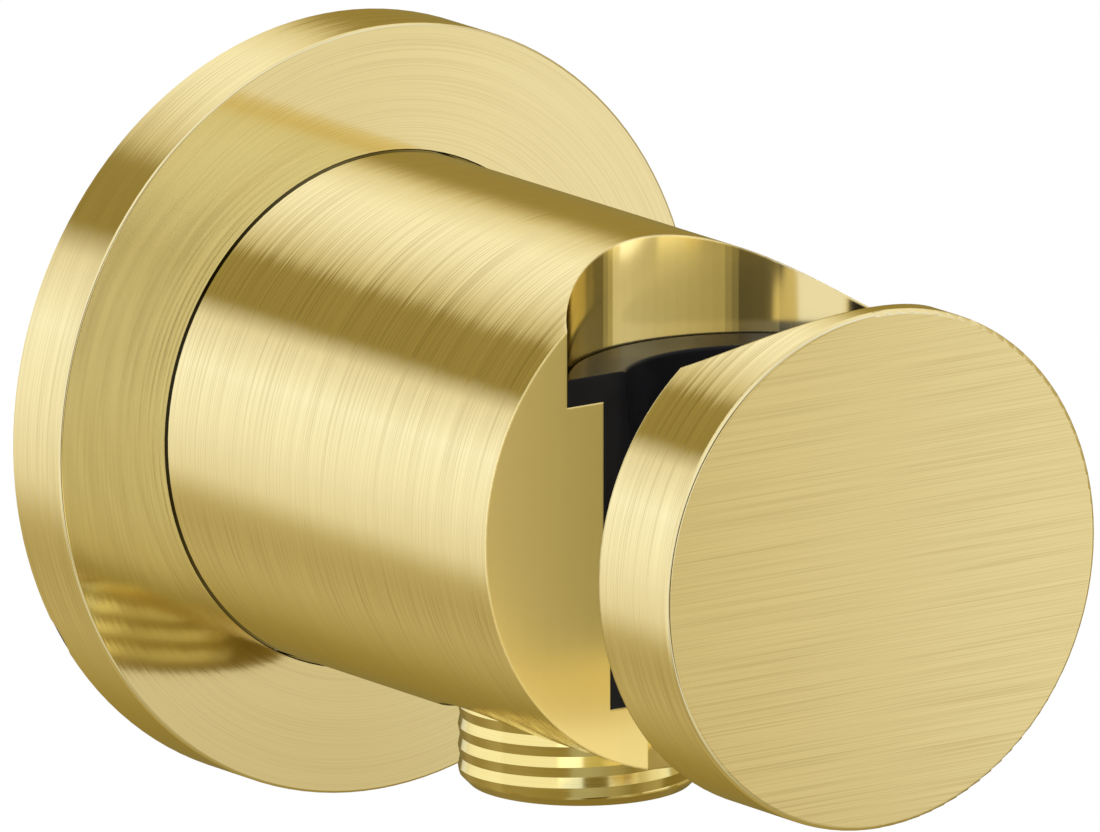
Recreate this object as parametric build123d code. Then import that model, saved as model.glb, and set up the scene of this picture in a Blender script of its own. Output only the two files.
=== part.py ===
"""Shower holder with wall outlet: a round wall flange, a slotted bar with a seat for the hand shower,
a threaded hose outlet underneath and a check valve inside.

Millimetres. The origin is the centre of the flange's wall face, on the axis of the body.
+Z is up, the wall is the plane y = 0 and the body projects towards -Y. X is to the right from the front.
A "depth" is a distance from the wall, so a point at depth d has y = -d.
"""
import os
from math import sqrt

from build123d import *

# Body: one bar, seen as a plain cylinder with a slot behind its front disc
BODY_DIAMETER = 45.0
PROJECTION = 79.6
BODY_REAR_DEPTH = 1.2
DISC_THICKNESS = 9.85
DISC_EDGE_FILLET = 0.42
BODY_REAR_CHAMFER = 0.6

# Hand shower seat: an upright stepped bore, open through a slot on the left
SLOT_WIDTH = 16.3
SEAT_RIM_RADIUS = 16.15
SEAT_BORE_RADIUS = 13.0
SEAT_LOWER_RADIUS = 12.45
SEAT_SHOULDER_HEIGHT = 11.0
SEAT_STEP_HEIGHT = -6.0
SEAT_FLOOR_HEIGHT = -16.0
HOSE_HOLE_RADIUS = 9.8

# Plastic seat insert: lip on the shoulder, sleeve in the bore, tapered inside
INSERT_LIP_THICKNESS = 2.4
INSERT_RIM_CLEARANCE = 0.1
INSERT_BORE_CLEARANCE = 0.05
INSERT_CONE_TOP_RADIUS = 11.35
INSERT_CONE_BOTTOM_RADIUS = 9.35
INSERT_EDGE_FILLET = 0.25

# Wall flange: a turned cup with a hub round the body
FLANGE_DIAMETER = 67.5
FLANGE_THICKNESS = 6.9
FLANGE_EDGE_FILLET = 0.28
FLANGE_HOLE_CLEARANCE = 0.15
FLANGE_HOLE_CHAMFER = 0.1
FLANGE_PLATE_THICKNESS = 2.2
FLANGE_RIM_WALL = 3.6
FLANGE_HUB_WALL = 3.4
FLANGE_HUB_SETBACK = 0.8

# Flange seals: a flat ring in a rebate at the wall and a grip ring round the body
SEAL_THICKNESS = 1.8
SEAL_LIP_WALL = 1.9
SEAL_CLEARANCE = 0.1
SEAL_TAB_ANGLE = 211.0
SEAL_TAB_DEPTH = 0.4
SEAL_TAB_ARC_RADIUS = 5.0
SEAL_TAB_SETBACK = 0.08
GRIP_RING_SECTION = 1.6
GRIP_RING_DEPTH = 2.8

# All O-rings lie in grooves a little wider than their section
RING_SIDE_CLEARANCE = 0.3
RING_CONTACT_CLEARANCE = 0.02

# G1/2 pipe thread, drawn at its major diameter
PIPE_THREAD_DIAMETER = 20.955
PIPE_THREAD_CHAMFER = 0.9

# Wall nipple: screwed into the pipe, carries the body on its spigot
WALL_THREAD_LENGTH = 15.0
WALL_COLLAR_RADIUS = 13.0
WALL_COLLAR_THICKNESS = 3.0
WALL_COLLAR_ROOM = 0.5
SPIGOT_RADIUS = 9.0
SPIGOT_LENGTH = 19.0
SPIGOT_CLEARANCE = 0.05
SPIGOT_CHAMFER = 0.8
SPIGOT_END_ROOM = 0.6
SPIGOT_RING_SECTION = 1.8
SPIGOT_RING_DEPTHS = (16.6, 20.0)
WALL_NIPPLE_HEX = 10.0
LOCK_GROOVE_WIDTH = 3.2
LOCK_GROOVE_CUT = 1.0

# Grub screw under the body, in the lock groove of the spigot
SCREW_DEPTH = 11.2
SCREW_RADIUS = 2.5
SCREW_CLEARANCE = 0.04
SCREW_TIP_RADIUS = 1.3
SCREW_TIP_ROOM = 0.4
SCREW_SINK = 3.5
SCREW_HEX = 2.5
SCREW_HEX_DEPTH = 3.0

# Water way and outlet nipple, which is sunk in a recess of the body's underside
OUTLET_DEPTH = 36.2
INLET_PASSAGE_RADIUS = 5.0
OUTLET_PASSAGE_RADIUS = 6.0
OUTLET_PASSAGE_TOP = 7.0
OUTLET_RECESS_RADIUS = 12.1
OUTLET_RECESS_SINK = 5.0
OUTLET_OVERHANG = 4.4
OUTLET_STUB_RADIUS = 9.0
OUTLET_STUB_LENGTH = 10.3
OUTLET_STUB_CLEARANCE = 0.04
OUTLET_STUB_ROOM = 0.4
OUTLET_RING_DROP = 2.2
OUTLET_RING_SECTION = 1.5
OUTLET_BORE_RADIUS = 7.2
OUTLET_LEDGE_RISE = 6.9
OUTLET_HEX = 12.0
OUTLET_MOUTH_CHAMFER = 1.0

# Check valve: a cartridge on the ledge inside the outlet nipple, opened by water from above
CAGE_RADIUS = 7.12
CAGE_LENGTH = 12.0
CAGE_ROOF = 2.0
CAGE_WALL = 1.1
CAGE_RING_SECTION = 1.0
CAGE_RING_DROP = 3.2
VALVE_SEAT_RADIUS = 3.8
POPPET_RADIUS = 4.8
POPPET_THICKNESS = 1.2
POPPET_NOSE_RADIUS = 2.0
POPPET_HEAD_RADIUS = 2.7
POPPET_HEAD_THICKNESS = 0.6
POPPET_SEAL_THICKNESS = 0.8
POPPET_STEM_RADIUS = 1.2
POPPET_STEM_OVERHANG = 0.6
STEM_CLEARANCE = 0.05
GUIDE_THICKNESS = 1.8
GUIDE_RING_WALL = 0.8
GUIDE_HUB_RADIUS = 2.9
GUIDE_SPOKE_WIDTH = 1.2
GUIDE_SPOKES = 3
GUIDE_CLEARANCE = 0.03
GUIDE_SETBACK = 0.4
SPRING_WIRE = 0.4
SPRING_MEAN_RADIUS = 2.1
SPRING_TURNS = 4.5
SPRING_END_CLEARANCE = 0.03

# Worked out from the sizes above
BODY_RADIUS = BODY_DIAMETER / 2
DISC_BACK_DEPTH = PROJECTION - DISC_THICKNESS
SLOT_FACE_DEPTH = DISC_BACK_DEPTH - SLOT_WIDTH
SEAT_DEPTH = (SLOT_FACE_DEPTH + DISC_BACK_DEPTH) / 2
FLANGE_RADIUS = FLANGE_DIAMETER / 2
FLANGE_HOLE_RADIUS = BODY_RADIUS + FLANGE_HOLE_CLEARANCE
FLANGE_HUB_RADIUS = FLANGE_HOLE_RADIUS + FLANGE_HUB_WALL
FLANGE_RIM_INNER_RADIUS = FLANGE_RADIUS - FLANGE_RIM_WALL
SEAL_OUTER_RADIUS = FLANGE_RADIUS - SEAL_LIP_WALL - SEAL_CLEARANCE
PIPE_THREAD_RADIUS = PIPE_THREAD_DIAMETER / 2
SPIGOT_END_DEPTH = WALL_COLLAR_THICKNESS + SPIGOT_LENGTH
OUTLET_RECESS_ROOF = OUTLET_RECESS_SINK - BODY_RADIUS
OUTLET_BOTTOM = -BODY_RADIUS - OUTLET_OVERHANG
OUTLET_STUB_TOP = OUTLET_RECESS_ROOF + OUTLET_STUB_LENGTH
OUTLET_RING_HEIGHT = OUTLET_STUB_TOP - OUTLET_RING_DROP
OUTLET_LEDGE_HEIGHT = OUTLET_BOTTOM + OUTLET_LEDGE_RISE
CAGE_TOP = OUTLET_LEDGE_HEIGHT + CAGE_LENGTH
VALVE_SEAT_HEIGHT = CAGE_TOP - CAGE_ROOF
CAGE_INNER_RADIUS = CAGE_RADIUS - CAGE_WALL
CAGE_RING_HEIGHT = CAGE_TOP - CAGE_RING_DROP
POPPET_TOP = VALVE_SEAT_HEIGHT - POPPET_SEAL_THICKNESS
POPPET_UNDERSIDE = POPPET_TOP - POPPET_THICKNESS
GUIDE_BOTTOM = OUTLET_LEDGE_HEIGHT + GUIDE_SETBACK
GUIDE_TOP = GUIDE_BOTTOM + GUIDE_THICKNESS
OVERSIZE = 2 * PROJECTION

# Planes whose profiles are turned about the body's axis or about an upright axis
ALONG_BODY = Plane(origin=(0, 0, 0), x_dir=(1, 0, 0), z_dir=(0, 0, 1))
OUTLET_PLANE = Plane(origin=(0, -OUTLET_DEPTH, 0), x_dir=(1, 0, 0), z_dir=(0, -1, 0))


def turned(plane, axis, points):
    """A solid turned about an axis from (radius, position) points on a plane."""
    face = make_face(plane * Polyline(*points, close=True))
    return revolve(face, axis)


def turned_on_body(*points):
    """A solid turned about the body's axis, from (radius, depth) points."""
    return turned(ALONG_BODY, Axis.Y, [(radius, -depth) for radius, depth in points])


def turned_on_outlet(*points):
    """A solid turned about the outlet's axis, from (radius, height) points."""
    return turned(OUTLET_PLANE, Axis((0, -OUTLET_DEPTH, 0), (0, 0, 1)), points)


def rod_along_body(radius, depth_from, depth_to):
    """A cylinder on the body's axis between two depths."""
    start = Plane(origin=(0, -depth_from, 0), x_dir=(1, 0, 0), z_dir=(0, -1, 0))
    return extrude(start * Circle(radius), depth_to - depth_from)


def upright_rod(radius, depth, bottom, top):
    """An upright cylinder on the plane x = 0, at a depth from the wall."""
    start = Plane(origin=(0, -depth, bottom))
    return extrude(start * Circle(radius), top - bottom)


def ring_on_body(mean_radius, section, depth):
    """An O-ring round the body's axis."""
    plane = Plane(origin=(0, -depth, 0), x_dir=(1, 0, 0), z_dir=(0, -1, 0))
    return plane * Torus(mean_radius, section / 2 - RING_CONTACT_CLEARANCE)


def ring_on_outlet(mean_radius, section, height):
    """An O-ring round the outlet's axis."""
    place = Plane(origin=(0, -OUTLET_DEPTH, height))
    return place * Torus(mean_radius, section / 2 - RING_CONTACT_CLEARANCE)


def hex_rod(plane, across_flats, length):
    """A six-sided rod for a key socket."""
    outline = RegularPolygon(across_flats / 2, 6, major_radius=False)
    return extrude(plane * outline, length)


def groove_width(section):
    """The width of a groove for a ring of the given section."""
    return section + RING_SIDE_CLEARANCE


def slot_cut():
    """The slot from the left side to the seat's axis, between the flat face and the disc."""
    length = OVERSIZE / 2
    place = Location((-length / 2, -SEAT_DEPTH, 0))
    return place * Box(length, SLOT_WIDTH, OVERSIZE)


def seat_bore_cuts():
    """The stepped upright bore that takes the insert, and the hose hole below it."""
    rim = upright_rod(SEAT_RIM_RADIUS, SEAT_DEPTH, SEAT_SHOULDER_HEIGHT, OVERSIZE / 2)
    bore = upright_rod(SEAT_BORE_RADIUS, SEAT_DEPTH, SEAT_STEP_HEIGHT, OVERSIZE / 2)
    lower = upright_rod(SEAT_LOWER_RADIUS, SEAT_DEPTH, SEAT_FLOOR_HEIGHT, OVERSIZE / 2)
    hose = upright_rod(HOSE_HOLE_RADIUS, SEAT_DEPTH, -OVERSIZE / 2, OVERSIZE / 2)
    return [rim, bore, lower, hose]


def inlet_cuts():
    """The rear socket for the wall nipple and the water way to the outlet."""
    collar_radius = WALL_COLLAR_RADIUS + WALL_COLLAR_ROOM
    collar_end = WALL_COLLAR_THICKNESS + WALL_COLLAR_ROOM
    collar = rod_along_body(collar_radius, 0, collar_end)
    socket = rod_along_body(SPIGOT_RADIUS + SPIGOT_CLEARANCE, 0, SPIGOT_END_DEPTH + SPIGOT_END_ROOM)
    passage = rod_along_body(INLET_PASSAGE_RADIUS, 0, OUTLET_DEPTH)
    return [collar, socket, passage]


def outlet_cuts():
    """The recess under the body, the socket of the outlet nipple and its water way."""
    recess = upright_rod(OUTLET_RECESS_RADIUS, OUTLET_DEPTH, -OVERSIZE / 2, OUTLET_RECESS_ROOF)
    socket_top = OUTLET_STUB_TOP + OUTLET_STUB_ROOM
    socket = upright_rod(OUTLET_STUB_RADIUS + OUTLET_STUB_CLEARANCE, OUTLET_DEPTH, -OVERSIZE / 2, socket_top)
    passage = upright_rod(OUTLET_PASSAGE_RADIUS, OUTLET_DEPTH, -OVERSIZE / 2, OUTLET_PASSAGE_TOP)
    return [recess, socket, passage]


def holder_body():
    """The bar with its front disc, slot, seat bore, rear socket and water way."""
    bar = rod_along_body(BODY_RADIUS, BODY_REAR_DEPTH, PROJECTION)
    ends = bar.edges().filter_by(GeomType.CIRCLE).sort_by(Axis.Y)
    bar = fillet(ends[0], DISC_EDGE_FILLET)
    rear = bar.edges().filter_by(GeomType.CIRCLE).sort_by(Axis.Y)[-1]
    bar = chamfer(rear, BODY_REAR_CHAMFER)
    bar -= slot_cut()
    bar -= seat_bore_cuts()
    bar -= inlet_cuts()
    bar -= outlet_cuts()
    screw_hole = upright_rod(SCREW_RADIUS + SCREW_CLEARANCE, SCREW_DEPTH, -OVERSIZE / 2, 0)
    return bar - screw_hole


def cone_insert():
    """The plastic seat: a lipped sleeve with a tapered inside, cut open by the slot."""
    lip_top = SEAT_SHOULDER_HEIGHT + INSERT_LIP_THICKNESS
    lip_radius = SEAT_RIM_RADIUS - INSERT_RIM_CLEARANCE
    sleeve_radius = SEAT_BORE_RADIUS - INSERT_BORE_CLEARANCE
    lower_radius = SEAT_LOWER_RADIUS - INSERT_BORE_CLEARANCE
    profile = [
        (INSERT_CONE_TOP_RADIUS, lip_top),
        (lip_radius, lip_top),
        (lip_radius, SEAT_SHOULDER_HEIGHT),
        (sleeve_radius, SEAT_SHOULDER_HEIGHT),
        (sleeve_radius, SEAT_STEP_HEIGHT),
        (lower_radius, SEAT_STEP_HEIGHT),
        (lower_radius, SEAT_FLOOR_HEIGHT),
        (INSERT_CONE_BOTTOM_RADIUS, SEAT_FLOOR_HEIGHT),
    ]
    plane = Plane(origin=(0, -SEAT_DEPTH, 0), x_dir=(1, 0, 0), z_dir=(0, -1, 0))
    sleeve = turned(plane, Axis((0, -SEAT_DEPTH, 0), (0, 0, 1)), profile)
    top_edges = sleeve.edges().group_by(Axis.Z)[-1]
    sleeve = fillet(top_edges, INSERT_EDGE_FILLET)
    return sleeve - slot_cut()


def seal_tab_cutter(clearance):
    """A shallow round-bottomed notch through the flange's rim, open to the wall."""
    centre_depth = SEAL_TAB_DEPTH - SEAL_TAB_ARC_RADIUS
    from_axis = (Align.CENTER, Align.CENTER, Align.MIN)
    cutter = Cylinder(SEAL_TAB_ARC_RADIUS - clearance, OVERSIZE, align=from_axis)
    cutter = Rot(0, 90, 0) * cutter
    cutter = Rot(0, -SEAL_TAB_ANGLE, 0) * cutter
    return Location((0, -centre_depth, 0)) * cutter


def wall_flange():
    """The turned cup: front plate, rim with a rebate for the wall seal, hub with a grip ring groove."""
    rebate_radius = FLANGE_RADIUS - SEAL_LIP_WALL
    plate_back = FLANGE_THICKNESS - FLANGE_PLATE_THICKNESS
    groove_half = groove_width(GRIP_RING_SECTION) / 2
    groove_radius = BODY_RADIUS + GRIP_RING_SECTION
    cup = turned_on_body(
        (FLANGE_RADIUS, 0),
        (FLANGE_RADIUS, FLANGE_THICKNESS),
        (FLANGE_HOLE_RADIUS, FLANGE_THICKNESS),
        (FLANGE_HOLE_RADIUS, GRIP_RING_DEPTH + groove_half),
        (groove_radius, GRIP_RING_DEPTH + groove_half),
        (groove_radius, GRIP_RING_DEPTH - groove_half),
        (FLANGE_HOLE_RADIUS, GRIP_RING_DEPTH - groove_half),
        (FLANGE_HOLE_RADIUS, FLANGE_HUB_SETBACK),
        (FLANGE_HUB_RADIUS, FLANGE_HUB_SETBACK),
        (FLANGE_HUB_RADIUS, plate_back),
        (FLANGE_RIM_INNER_RADIUS, plate_back),
        (FLANGE_RIM_INNER_RADIUS, SEAL_THICKNESS),
        (rebate_radius, SEAL_THICKNESS),
        (rebate_radius, 0),
    )
    front = cup.edges().filter_by(GeomType.CIRCLE).group_by(Axis.Y)[0].sort_by(SortBy.RADIUS)
    cup = fillet(front[-1], FLANGE_EDGE_FILLET)
    hole = cup.edges().filter_by(GeomType.CIRCLE).group_by(Axis.Y)[0].sort_by(SortBy.RADIUS)
    cup = chamfer(hole[0], FLANGE_HOLE_CHAMFER)
    return cup - seal_tab_cutter(0)


def flange_wall_seal():
    """The flat ring in the flange's rebate, with a tab in the rim's notch."""
    ring = turned_on_body(
        (SEAL_OUTER_RADIUS, 0),
        (SEAL_OUTER_RADIUS, SEAL_THICKNESS),
        (FLANGE_RIM_INNER_RADIUS, SEAL_THICKNESS),
        (FLANGE_RIM_INNER_RADIUS, 0),
    )
    tab_outer = FLANGE_RADIUS - SEAL_TAB_SETBACK
    tab_inner = (SEAL_OUTER_RADIUS + FLANGE_RIM_INNER_RADIUS) / 2
    rim = turned_on_body(
        (tab_outer, 0),
        (tab_outer, SEAL_TAB_DEPTH),
        (tab_inner, SEAL_TAB_DEPTH),
        (tab_inner, 0),
    )
    tab = rim & seal_tab_cutter(SEAL_TAB_SETBACK)
    return ring + tab


def flange_grip_ring():
    """The O-ring between the flange's hub and the body."""
    return ring_on_body(BODY_RADIUS + GRIP_RING_SECTION / 2, GRIP_RING_SECTION, GRIP_RING_DEPTH)


def wall_nipple():
    """The connection to the pipe: threaded end, collar and spigot with its grooves and key socket."""
    ring_cut = SPIGOT_RADIUS + SPIGOT_CLEARANCE - SPIGOT_RING_SECTION
    lock_cut = SPIGOT_RADIUS - LOCK_GROOVE_CUT
    thread_tip = PIPE_THREAD_RADIUS - PIPE_THREAD_CHAMFER
    points = [
        (0, -WALL_THREAD_LENGTH),
        (thread_tip, -WALL_THREAD_LENGTH),
        (PIPE_THREAD_RADIUS, PIPE_THREAD_CHAMFER - WALL_THREAD_LENGTH),
        (PIPE_THREAD_RADIUS, 0),
        (WALL_COLLAR_RADIUS, 0),
        (WALL_COLLAR_RADIUS, WALL_COLLAR_THICKNESS),
        (SPIGOT_RADIUS, WALL_COLLAR_THICKNESS),
    ]
    grooves = [(SCREW_DEPTH, LOCK_GROOVE_WIDTH, lock_cut)]
    grooves += [(depth, groove_width(SPIGOT_RING_SECTION), ring_cut) for depth in SPIGOT_RING_DEPTHS]
    for depth, width, cut in grooves:
        points += [
            (SPIGOT_RADIUS, depth - width / 2),
            (cut, depth - width / 2),
            (cut, depth + width / 2),
            (SPIGOT_RADIUS, depth + width / 2),
        ]
    points += [
        (SPIGOT_RADIUS, SPIGOT_END_DEPTH - SPIGOT_CHAMFER),
        (SPIGOT_RADIUS - SPIGOT_CHAMFER, SPIGOT_END_DEPTH),
        (0, SPIGOT_END_DEPTH),
    ]
    front = Plane(origin=(0, -SPIGOT_END_DEPTH, 0), x_dir=(1, 0, 0), z_dir=(0, 1, 0))
    key_socket = hex_rod(front, WALL_NIPPLE_HEX, SPIGOT_END_DEPTH + WALL_THREAD_LENGTH)
    return turned_on_body(*points) - key_socket


def nipple_o_ring(depth):
    """One O-ring in its groove on the spigot."""
    mean_radius = SPIGOT_RADIUS + SPIGOT_CLEARANCE - SPIGOT_RING_SECTION / 2
    return ring_on_body(mean_radius, SPIGOT_RING_SECTION, depth)


def body_grub_screw():
    """The socket screw under the body, with its tip in the spigot's lock groove."""
    tip = LOCK_GROOVE_CUT - SPIGOT_RADIUS
    shoulder = -SPIGOT_RADIUS - SCREW_TIP_ROOM
    bottom = SCREW_SINK - BODY_RADIUS
    shank = upright_rod(SCREW_RADIUS, SCREW_DEPTH, bottom, shoulder)
    top_edge = shank.edges().filter_by(GeomType.CIRCLE).sort_by(Axis.Z)[-1]
    shank = chamfer(top_edge, (SCREW_RADIUS - SCREW_TIP_RADIUS) / 2)
    dog = upright_rod(SCREW_TIP_RADIUS, SCREW_DEPTH, shoulder, tip)
    socket = hex_rod(Plane(origin=(0, -SCREW_DEPTH, bottom)), SCREW_HEX, SCREW_HEX_DEPTH)
    return shank + dog - socket


def outlet_nipple():
    """The hose connection: stub with its ring groove, threaded end, valve bore and key socket."""
    half_groove = groove_width(OUTLET_RING_SECTION) / 2
    groove_radius = OUTLET_STUB_RADIUS + OUTLET_STUB_CLEARANCE - OUTLET_RING_SECTION
    mouth_radius = OUTLET_HEX / sqrt(3)
    nipple = turned_on_outlet(
        (0, OUTLET_STUB_TOP),
        (OUTLET_STUB_RADIUS, OUTLET_STUB_TOP),
        (OUTLET_STUB_RADIUS, OUTLET_RING_HEIGHT + half_groove),
        (groove_radius, OUTLET_RING_HEIGHT + half_groove),
        (groove_radius, OUTLET_RING_HEIGHT - half_groove),
        (OUTLET_STUB_RADIUS, OUTLET_RING_HEIGHT - half_groove),
        (OUTLET_STUB_RADIUS, OUTLET_RECESS_ROOF),
        (PIPE_THREAD_RADIUS, OUTLET_RECESS_ROOF),
        (PIPE_THREAD_RADIUS, OUTLET_BOTTOM + PIPE_THREAD_CHAMFER),
        (PIPE_THREAD_RADIUS - PIPE_THREAD_CHAMFER, OUTLET_BOTTOM),
        (mouth_radius, OUTLET_BOTTOM),
        (mouth_radius - OUTLET_MOUTH_CHAMFER, OUTLET_BOTTOM + OUTLET_MOUTH_CHAMFER),
        (0, OUTLET_BOTTOM + OUTLET_MOUTH_CHAMFER),
    )
    valve_bore = upright_rod(OUTLET_BORE_RADIUS, OUTLET_DEPTH, OUTLET_LEDGE_HEIGHT, OUTLET_STUB_TOP)
    mouth = Plane(origin=(0, -OUTLET_DEPTH, OUTLET_BOTTOM))
    key_socket = hex_rod(mouth, OUTLET_HEX, OUTLET_LEDGE_HEIGHT - OUTLET_BOTTOM)
    return nipple - valve_bore - key_socket


def outlet_nipple_o_ring():
    """The O-ring round the outlet nipple's stub."""
    mean_radius = OUTLET_STUB_RADIUS + OUTLET_STUB_CLEARANCE - OUTLET_RING_SECTION / 2
    return ring_on_outlet(mean_radius, OUTLET_RING_SECTION, OUTLET_RING_HEIGHT)


def check_valve_cage():
    """The cartridge's shell: seat in its roof, ring groove outside, open below."""
    half_groove = groove_width(CAGE_RING_SECTION) / 2
    groove_radius = OUTLET_BORE_RADIUS - CAGE_RING_SECTION
    guide_seat = CAGE_INNER_RADIUS - GUIDE_RING_WALL / 2
    return turned_on_outlet(
        (VALVE_SEAT_RADIUS, CAGE_TOP),
        (CAGE_RADIUS, CAGE_TOP),
        (CAGE_RADIUS, CAGE_RING_HEIGHT + half_groove),
        (groove_radius, CAGE_RING_HEIGHT + half_groove),
        (groove_radius, CAGE_RING_HEIGHT - half_groove),
        (CAGE_RADIUS, CAGE_RING_HEIGHT - half_groove),
        (CAGE_RADIUS, OUTLET_LEDGE_HEIGHT),
        (CAGE_INNER_RADIUS, OUTLET_LEDGE_HEIGHT),
        (CAGE_INNER_RADIUS, GUIDE_TOP),
        (guide_seat, GUIDE_TOP),
        (guide_seat, VALVE_SEAT_HEIGHT),
        (VALVE_SEAT_RADIUS, VALVE_SEAT_HEIGHT),
    )


def check_valve_o_ring():
    """The O-ring between the cartridge and the outlet nipple."""
    mean_radius = OUTLET_BORE_RADIUS - CAGE_RING_SECTION / 2
    return ring_on_outlet(mean_radius, CAGE_RING_SECTION, CAGE_RING_HEIGHT)


def check_valve_poppet():
    """The valve disc with its stem below and a headed nose above for the seal."""
    stem_bottom = GUIDE_BOTTOM - POPPET_STEM_OVERHANG
    head_top = VALVE_SEAT_HEIGHT + POPPET_HEAD_THICKNESS
    return turned_on_outlet(
        (0, head_top),
        (POPPET_HEAD_RADIUS, head_top),
        (POPPET_HEAD_RADIUS, VALVE_SEAT_HEIGHT),
        (POPPET_NOSE_RADIUS, VALVE_SEAT_HEIGHT),
        (POPPET_NOSE_RADIUS, POPPET_TOP),
        (POPPET_RADIUS, POPPET_TOP),
        (POPPET_RADIUS, POPPET_UNDERSIDE),
        (POPPET_STEM_RADIUS, POPPET_UNDERSIDE),
        (POPPET_STEM_RADIUS, stem_bottom),
        (0, stem_bottom),
    )


def poppet_seal():
    """The rubber washer that closes on the seat."""
    return turned_on_outlet(
        (POPPET_NOSE_RADIUS, VALVE_SEAT_HEIGHT),
        (POPPET_RADIUS, VALVE_SEAT_HEIGHT),
        (POPPET_RADIUS, POPPET_TOP),
        (POPPET_NOSE_RADIUS, POPPET_TOP),
    )


def check_valve_guide():
    """The spoked ring pressed into the cage, with the bore that guides the stem."""
    place = Plane(origin=(0, -OUTLET_DEPTH, GUIDE_BOTTOM))
    ring_radius = CAGE_INNER_RADIUS - GUIDE_CLEARANCE
    outline = Circle(ring_radius) - Circle(ring_radius - GUIDE_RING_WALL) + Circle(GUIDE_HUB_RADIUS)
    spoke_length = ring_radius - GUIDE_RING_WALL / 2
    spoke = Rectangle(spoke_length, GUIDE_SPOKE_WIDTH, align=(Align.MIN, Align.CENTER))
    outline += [Rot(0, 0, 360 * index / GUIDE_SPOKES) * spoke for index in range(GUIDE_SPOKES)]
    outline -= Circle(POPPET_STEM_RADIUS + STEM_CLEARANCE)
    return extrude(place * outline, GUIDE_THICKNESS)


def check_valve_spring():
    """The closing spring between the guide's hub and the valve disc."""
    low = GUIDE_TOP + SPRING_WIRE / 2 + SPRING_END_CLEARANCE
    high = POPPET_UNDERSIDE - SPRING_WIRE / 2 - SPRING_END_CLEARANCE
    height = high - low
    coil = Helix(height / SPRING_TURNS, height, SPRING_MEAN_RADIUS)
    section = Plane(origin=coil @ 0, z_dir=coil % 0) * Circle(SPRING_WIRE / 2)
    return Location((0, -OUTLET_DEPTH, low)) * sweep(section, coil)


def pieces():
    """Every piece of the assembly by its node name."""
    rear_ring, front_ring = SPIGOT_RING_DEPTHS
    return {
        "wall_flange": wall_flange(),
        "flange_wall_seal": flange_wall_seal(),
        "flange_grip_ring": flange_grip_ring(),
        "holder_body": holder_body(),
        "cone_insert": cone_insert(),
        "wall_nipple": wall_nipple(),
        "nipple_o_ring_rear": nipple_o_ring(rear_ring),
        "nipple_o_ring_front": nipple_o_ring(front_ring),
        "body_grub_screw": body_grub_screw(),
        "outlet_nipple": outlet_nipple(),
        "outlet_nipple_o_ring": outlet_nipple_o_ring(),
        "check_valve_cage": check_valve_cage(),
        "check_valve_o_ring": check_valve_o_ring(),
        "check_valve_poppet": check_valve_poppet(),
        "poppet_seal": poppet_seal(),
        "check_valve_spring": check_valve_spring(),
        "check_valve_guide": check_valve_guide(),
    }


os.makedirs("parts", exist_ok=True)
for name, piece in pieces().items():
    export_step(piece, f"parts/{name}.step")
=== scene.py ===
"""Looks of the shower holder with wall outlet: brushed gold metal, cut threads, black seat, seals and studio.

Metres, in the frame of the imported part: the wall is the plane y = 0, the body points to -Y and +Z is up.
"""
from math import ceil, cos, floor, pi, radians, sin, sqrt, tan, tau

import bmesh
import bpy
from mathutils import Matrix, Vector

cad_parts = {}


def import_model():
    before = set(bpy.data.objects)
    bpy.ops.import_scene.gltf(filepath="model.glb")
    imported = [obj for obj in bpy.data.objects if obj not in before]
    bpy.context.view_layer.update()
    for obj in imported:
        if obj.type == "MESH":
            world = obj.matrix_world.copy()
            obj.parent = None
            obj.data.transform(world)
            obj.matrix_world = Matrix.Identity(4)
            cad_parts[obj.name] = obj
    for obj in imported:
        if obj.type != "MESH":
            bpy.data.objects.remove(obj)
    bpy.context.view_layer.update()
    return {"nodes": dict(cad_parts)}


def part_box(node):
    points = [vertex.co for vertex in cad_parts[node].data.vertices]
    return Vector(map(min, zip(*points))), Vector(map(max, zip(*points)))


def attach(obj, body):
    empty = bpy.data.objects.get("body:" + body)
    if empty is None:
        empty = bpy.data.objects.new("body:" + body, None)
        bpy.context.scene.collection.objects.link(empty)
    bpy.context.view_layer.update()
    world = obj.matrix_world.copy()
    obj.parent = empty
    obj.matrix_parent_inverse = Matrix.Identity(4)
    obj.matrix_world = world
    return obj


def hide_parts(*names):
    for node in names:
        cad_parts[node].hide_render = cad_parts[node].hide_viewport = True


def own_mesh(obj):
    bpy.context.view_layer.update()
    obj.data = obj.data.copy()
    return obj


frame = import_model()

MM = 0.001

# Main sizes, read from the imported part
BODY_LOW, BODY_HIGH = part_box("holder_body")
BODY_RADIUS = (BODY_HIGH.x - BODY_LOW.x) / 2
DISC_FRONT = BODY_LOW.y
OUTLET_LOW, OUTLET_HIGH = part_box("outlet_nipple")
OUTLET_Y = (OUTLET_LOW.y + OUTLET_HIGH.y) / 2
WALL_LOW, WALL_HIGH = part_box("wall_nipple")
PIPE_RADIUS = (OUTLET_HIGH.x - OUTLET_LOW.x) / 2
FLANGE_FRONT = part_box("wall_flange")[0].y
FLANGE_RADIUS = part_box("wall_flange")[1].x
INSERT_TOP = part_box("cone_insert")[1].z

# G1/2 thread, cut shallow as the photograph shows it, drawn by lines along its helix
THREAD_PITCH = 1.814 * MM
THREAD_DEPTH = 0.17 * MM
THREAD_CHAMFER = 0.9 * MM
THREAD_LINES = 16
RING_POINTS = 144
SHARP_EDGE = radians(12)
MERGE_DISTANCE = 0.0001 * MM

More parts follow.
